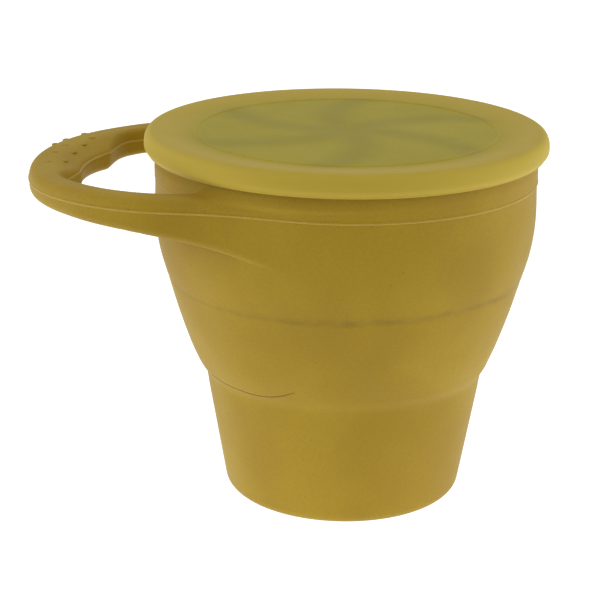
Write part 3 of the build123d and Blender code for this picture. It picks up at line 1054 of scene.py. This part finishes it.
@dataclass
class FlapLid:
    """The plug ring and its six curved finger flaps."""

    material: bpy.types.Material
    flange_z: float = 83.4
    flange_radius: float = 43.2
    seat_z: float = 82.0
    plug_radius: float = 40.7
    plug_inner: float = 38.6
    plug_z: float = 76.0
    flap_top: float = 82.8
    flap_bottom: float = 81.2
    corner_radius: float = 36.4
    corner_angle: float = 20.0
    slit_width: float = 1.1
    slit_bow: float = 6.3
    slit_end: float = 1.3
    tip_radius: float = 1.25
    soft_edge: float = 0.55
    crown: float = 0.35
    hinge_length: float = 7.0

    def hole_radius(self, turns: np.ndarray) -> np.ndarray:
        """Radius of the flaps' opening at each angle, with the slits' round ends."""
        sector = np.degrees(turns) - self.corner_angle
        off = (sector + 30.0) % 60.0 - 30.0
        chord = self.corner_radius * math.cos(math.pi / 6) / np.cos(np.radians(30.0 - np.abs(off)))
        across = self.corner_radius * np.sin(np.radians(off))
        bite = self.corner_radius * np.cos(np.radians(off)) + np.sqrt(
            np.maximum(self.slit_end**2 - across**2, 0.0)
        )
        return np.where(np.abs(across) < self.slit_end, np.maximum(chord, bite), chord)

    def build_ring(self) -> bpy.types.Object:
        """Make the flange, plug and the plate round the flaps."""
        steps = np.concatenate([np.arange(-2.1, 2.11, 0.3), np.arange(2.6, 57.8, 1.0)])
        turns = np.radians(np.sort(np.concatenate([self.corner_angle + 60 * k + steps for k in range(6)])))
        hole = self.hole_radius(turns)
        skin = SkinBuilder()
        rows: list[tuple] = [
            (hole, self.flap_top - 0.35),
            (hole + 0.1, self.flap_top - 0.1),
            (hole + 0.32, self.flap_top),
            (np.maximum(hole + 0.4, 38.0), self.flap_top),
            (38.45, self.flap_top + 0.06),
            (38.7, self.flap_top + 0.3),
            (38.95, self.flange_z - 0.08),
            (39.3, self.flange_z),
            (41.0, self.flange_z),
        ]
        rows += arc((self.flange_radius - 0.5, self.flange_z - 0.5), 0.5, 90, 0, 4)
        rows += arc((self.flange_radius - 0.4, self.seat_z + 0.4), 0.4, 0, -90, 4)
        rows += [(self.plug_radius + 0.5, self.seat_z), (self.plug_radius, self.seat_z - 0.4)]
        rows += [(self.plug_radius, 79.0)]
        rows += arc((self.plug_radius - 0.8, self.plug_z + 0.8), 0.8, 0, -90, 5)
        rows += arc((self.plug_inner + 0.6, self.plug_z + 0.6), 0.6, -90, -180, 4)
        rows += [(self.plug_inner, 78.5), (self.plug_inner, self.flap_bottom - 0.5)]
        rows += [(self.plug_inner - 0.15, self.flap_bottom - 0.1), (self.plug_inner - 0.5, self.flap_bottom)]
        rows += [(hole + 0.05, self.flap_bottom)]
        rings = [skin.ring(r, z, turns) for r, z in rows]
        for one, two in zip(rings, rings[1:] + rings[:1]):
            skin.band(two, one)
        ring = skin.piece("flap_lid_plug_ring", self.material)
        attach(ring, Body.FLAP_LID.value)
        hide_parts("flap_lid_ring")
        return ring

    def slit_side(self, index: int, side: float, shares: np.ndarray) -> np.ndarray:
        """Points along one side of a slit, from its corner inwards.

        Args:
            index: Which slit.
            side: Half the slit's width, above zero on its anticlockwise side.
            shares: How far along, 0 at the corner and 1 in the middle.

        Returns:
            Points in plan.
        """
        turn = math.radians(self.corner_angle + 60 * index)
        out = np.array([math.cos(turn), math.sin(turn)])
        left = np.array([-out[1], out[0]])
        radius = self.corner_radius**2 / (8 * self.slit_bow) + self.slit_bow / 2
        centre = out * self.corner_radius / 2 - left * (radius - self.slit_bow)
        half = math.asin(self.corner_radius / 2 / radius)
        angles = half * (1 - 2 * shares)
        return centre + (radius + side) * (np.outer(np.sin(angles), out) + np.outer(np.cos(angles), left))

    def build_flap(self, index: int) -> bpy.types.Object:
        """Make one flap.

        Args:
            index: Which flap, from 0.

        Returns:
            The flap.
        """
        along = np.concatenate([np.linspace(0, 0.9, 30), [0.93, 0.955, 0.97]])
        half = np.array([0, 0.006, 0.014, 0.024, 0.04, 0.065, 0.1, 0.16, 0.24, 0.33, 0.42])
        across = np.concatenate([half, [0.5], 1 - half[::-1]])
        inset = self.slit_width / 2
        first = self.slit_side(index, inset, 0.035 + 0.965 * along)
        second = self.slit_side(index + 1, -inset, 0.03 + 0.97 * along)
        corners = [self.slit_side(k, 0.0, np.array([0.0]))[0] for k in (index, index + 1)]
        middle = (corners[0] + corners[1]) / 2
        inward = -middle / np.linalg.norm(middle)
        grid = first[:, None] * (1 - across[None, :, None]) + second[:, None] * across[None, :, None]
        depth = (grid - middle) @ inward
        grid[0] -= inward * depth[0][:, None]
        depth = (grid - middle) @ inward
        width = np.linalg.norm(first - second, axis=1)[:, None]
        edge = np.minimum(across, 1 - across)[None, :] * width
        tip = np.clip(np.linalg.norm(grid, axis=2) - self.tip_radius, 0, None)
        edge = np.minimum(edge, tip + 0.02)
        inner = np.clip(1 - edge / self.soft_edge, 0, 1)
        round_off = self.soft_edge * (1 - np.sqrt(1 - 0.96 * inner**2))
        dome = self.crown * (1 - smooth_step(edge / 5.0)) * smooth_step(depth / 6.0)
        top = self.flap_top - round_off * smooth_step(0.3 + depth / 1.5) - dome
        bottom = self.flap_bottom + 0.45 * round_off
        skin = SkinBuilder()
        upper = skin.add(np.dstack([grid, top])).reshape(top.shape)
        lower = skin.add(np.dstack([grid, bottom])).reshape(bottom.shape)
        for sheet, order in ((upper, -1), (lower, 1)):
            quads = [sheet[:-1, :-1], sheet[1:, :-1], sheet[1:, 1:], sheet[:-1, 1:]][::order]
            skin.faces += np.stack(quads, axis=-1).reshape(-1, 4).tolist()
        rim_top, rim_low = (
            np.concatenate([sheet[0, :-1], sheet[:-1, -1], sheet[-1, :0:-1], sheet[:0:-1, 0]])
            for sheet in (upper, lower)
        )
        skin.band(rim_top, rim_low)
        flap = skin.piece(f"finger_flap_{index + 1}", self.material)
        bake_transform(flap)
        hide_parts(f"flap_{index + 1}")
        return flap

    def build(self) -> list[bpy.types.Object]:
        """Make the ring and the flaps."""
        return [self.build_ring(), *(self.build_flap(k) for k in range(6))]


# ---------------------------------------------------------------- cover


@dataclass
class Cover:
    """The frosted cover that closes over the flap lid."""

    material: bpy.types.Material
    panel_z: float = 85.2
    under_z: float = 83.7
    crest_z: float = 85.98
    crest_radius: float = 43.7
    widest_radius: float = 45.82
    widest_z: float = 82.7
    squareness: float = 0.84
    lip_z: float = 80.92
    inner_radius: float = 43.7
    seat_radius: float = 40.2
    flange_z: float = 83.4
    ring_radius: float = 34.3
    columns: int = 240

    def profile(self) -> list:
        """Closed profile from the middle of the top, over the rim and back underneath."""
        rows = [(r, self.panel_z) for r in (4.0, 9.0, 15.0, 21.0, 27.0, 31.0, 33.0)]
        line = self.ring_radius
        rows += [(line - 0.55, self.panel_z + 0.01), (line - 0.3, self.panel_z + 0.17)]
        rows += [(line, self.panel_z + 0.28), (line + 0.25, self.panel_z + 0.18)]
        rows += [(line + 0.5, self.panel_z + 0.04)]
        ways = (35.0, 37.0, 39.0, 41.0, 42.5, self.crest_radius)
        rise = SmoothCurve(ways, (85.22, 85.31, 85.54, 85.8, 85.93, self.crest_z))
        rows += [(r, float(rise(np.array(r)))) for r in np.arange(35.3, 43.4, 0.6)]
        wide, tall = self.widest_radius - self.crest_radius, self.crest_z - self.widest_z
        for turn in np.radians(np.linspace(88, 0, 16)):
            across, up = math.cos(turn) ** self.squareness, math.sin(turn) ** self.squareness
            rows.append((self.crest_radius + wide * across, self.widest_z + tall * up))
        rows += [(self.widest_radius - 0.03, 82.4), (45.69, 82.08), (45.5, 81.78), (45.26, 81.5)]
        rows += [(45.08, 81.33), (45.0, 81.24), (45.03, 81.12), (44.98, 81.0), (44.8, self.lip_z)]
        rows += [(44.1, self.lip_z), (43.8, self.lip_z + 0.08), (self.inner_radius, 81.25)]
        rows += [(self.inner_radius, 82.0), (self.inner_radius, self.flange_z - 0.3)]
        rows += [(43.5, self.flange_z), (42.0, self.flange_z), (self.seat_radius + 0.3, self.flange_z)]
        rows += [(self.seat_radius, self.flange_z + 0.1), (self.seat_radius - 0.2, self.under_z)]
        rows += [(r, self.under_z) for r in (38.0, 33.0, 26.0, 18.0, 10.0, 4.0)]
        return rows

    def build(self) -> list[bpy.types.Object]:
        """Make the cover."""
        turns = np.linspace(0, 2 * math.pi, self.columns, endpoint=False)
        skin = SkinBuilder()
        rings = [skin.ring(r, z, turns) for r, z in self.profile()]
        for one, two in zip(rings, rings[1:]):
            skin.band(two, one)
        skin.cap(rings[0], (0.0, 0.0, self.panel_z), up=True)
        skin.cap(rings[-1], (0.0, 0.0, self.under_z), up=False)
        cover = skin.piece("frosted_cover", self.material)
        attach(cover, Body.COVER.value)
        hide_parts("cover_lid")
        return [cover]


# ---------------------------------------------------------------- studio


@dataclass
class Studio:
    """White tent lighting, pale floor and the camera."""

    camera_place: tuple = (-0.01019, -0.39766, 0.17474)
    camera_pitch: float = 18.117
    camera_roll: float = 0.515
    lens: float = 107.48
    horizon_strength: float = 0.4
    zenith_strength: float = 0.78
    floor_strength: float = 1.3
    far_floor_strength: float = 0.3
    near_front: float = -0.1
    far_front: float = -0.21
    side_watts: float = 1.15
    floor_colour: str = "f2f2f2"

    def place_camera(self) -> None:
        """Set the camera that looks down on the cup from the front."""
        pitch, roll = math.radians(self.camera_pitch), math.radians(self.camera_roll)
        up = np.array([0.0, math.sin(pitch), math.cos(pitch)])
        right = np.array([1.0, 0.0, 0.0])
        back = -np.array([0.0, math.cos(pitch), -math.sin(pitch)])
        x = math.cos(roll) * right + math.sin(roll) * up
        y = -math.sin(roll) * right + math.cos(roll) * up
        turn = np.eye(4)
        turn[:3, 0], turn[:3, 1], turn[:3, 2], turn[:3, 3] = x, y, back, self.camera_place
        camera = bpy.data.cameras.new("studio_camera")
        camera.lens, camera.sensor_width = self.lens, 36.0
        camera.clip_start = 0.01
        holder = bpy.data.objects.new("studio_camera", camera)
        bpy.context.scene.collection.objects.link(holder)
        holder.matrix_world = Matrix(turn.tolist())
        bpy.context.scene.camera = holder

    def light(self, name: str, place: tuple, aim: tuple, size: float, watts: float) -> None:
        """Add a soft square light.

        Args:
            name: Its name.
            place: Where it stands.
            aim: The point it faces.
            size: Its side in metres.
            watts: Its power.
        """
        lamp = bpy.data.lights.new(name, "AREA")
        lamp.shape, lamp.size, lamp.energy = "SQUARE", size, watts
        holder = bpy.data.objects.new(name, lamp)
        bpy.context.scene.collection.objects.link(holder)
        away = Matrix.Translation(place).to_translation() - Matrix.Translation(aim).to_translation()
        holder.rotation_euler = away.to_track_quat("Z", "Y").to_euler()
        holder.location = place

    def build_floor(self) -> None:
        """Lay a pale floor that shows white and keeps a soft shadow."""
        size = 1.2
        corners = np.array([[-size, -size, 0], [size, -size, 0], [size, size, 0], [-size, size, 0]])
        material = bpy.data.materials.new("studio_paper")
        material.use_nodes = True
        tree = material.node_tree
        tree.nodes.clear()
        paper = add_node(tree, "ShaderNodeBsdfDiffuse", None, {"Color": linear(self.floor_colour)})
        place = add_node(tree, "ShaderNodeTexCoord").outputs["Object"]
        front = add_node(tree, "ShaderNodeSeparateXYZ", None, {0: place}).outputs["Y"]
        strength = MouldedSilicone.spread(
            tree, front, self.far_front, self.near_front, self.far_floor_strength, self.floor_strength
        )
        seen = add_node(tree, "ShaderNodeLightPath").outputs["Is Camera Ray"]
        strength = MouldedSilicone.work_out(tree, "MAXIMUM", strength, seen)
        white = add_node(
            tree, "ShaderNodeEmission", None, {"Color": (1, 1, 1, 1), "Strength": strength}
        )
        shown = add_node(
            tree, "ShaderNodeMixShader", None, {0: 0.9, 1: paper.outputs[0], 2: white.outputs[0]}
        )
        add_node(tree, "ShaderNodeOutputMaterial", None, {"Surface": shown.outputs[0]})
        floor = add_piece("studio_floor", (corners + [0, 0, -0.00005]) / MM, [[0, 1, 2, 3]], [material])

    def build_world(self) -> None:
        """Fill the tent with even light, white where the camera sees it."""
        world = bpy.data.worlds.new("studio_tent")
        bpy.context.scene.world = world
        world.use_nodes = True
        tree = world.node_tree
        tree.nodes.clear()
        path = add_node(tree, "ShaderNodeLightPath")
        way = add_node(tree, "ShaderNodeTexCoord").outputs["Generated"]
        climb = add_node(tree, "ShaderNodeSeparateXYZ", None, {0: way}).outputs["Z"]
        strength = add_node(
            tree,
            "ShaderNodeMapRange",
            None,
            {0: climb, 1: 0.0, 2: 0.5, 3: self.horizon_strength, 4: self.zenith_strength},
        ).outputs[0]
        tent = add_node(
            tree, "ShaderNodeBackground", None, {"Color": (1, 1, 1, 1), "Strength": strength}
        )
        white = add_node(tree, "ShaderNodeBackground", None, {"Color": (1, 1, 1, 1), "Strength": 1.0})
        shown = add_node(
            tree,
            "ShaderNodeMixShader",
            None,
            {0: path.outputs["Is Camera Ray"], 1: tent.outputs[0], 2: white.outputs[0]},
        )
        add_node(tree, "ShaderNodeOutputWorld", None, {"Surface": shown.outputs[0]})

    def build(self) -> None:
        """Set up camera, lights, floor and world."""
        self.place_camera()
        self.light("left_softbox", (-0.6, -0.15, 0.17), (0, 0, 0.05), 0.5, self.side_watts)
        self.light("right_softbox", (0.6, -0.15, 0.17), (0, 0, 0.05), 0.5, self.side_watts)
        self.build_floor()
        self.build_world()
        bpy.context.scene.view_settings.view_transform = "Standard"


def main() -> None:
    """Build every sub-assembly, dress it and set up the studio."""
    logging.basicConfig(level=logging.INFO, format="%(name)s: %(message)s")
    cup_finish, flap_finish = CUP_SILICONE.build(), FLAP_SILICONE.build()
    cover_finish = COVER_SILICONE.build()
    cup = Cup(cup_finish, MOULD_LINE_HIGHLIGHT_SILICONE.build(), CREASE_SHADE_SILICONE.build())
    dots = GripDots(cup, cup_finish)
    for assembly in (cup, dots, FlapLid(flap_finish), Cover(cover_finish)):
        for piece in assembly.build():
            triangles = sum(len(face.vertices) - 2 for face in piece.data.polygons)
            LOG.info("%s: %d triangles", piece.name, triangles)
    Studio().build()


if __name__ == "__main__":
    main()
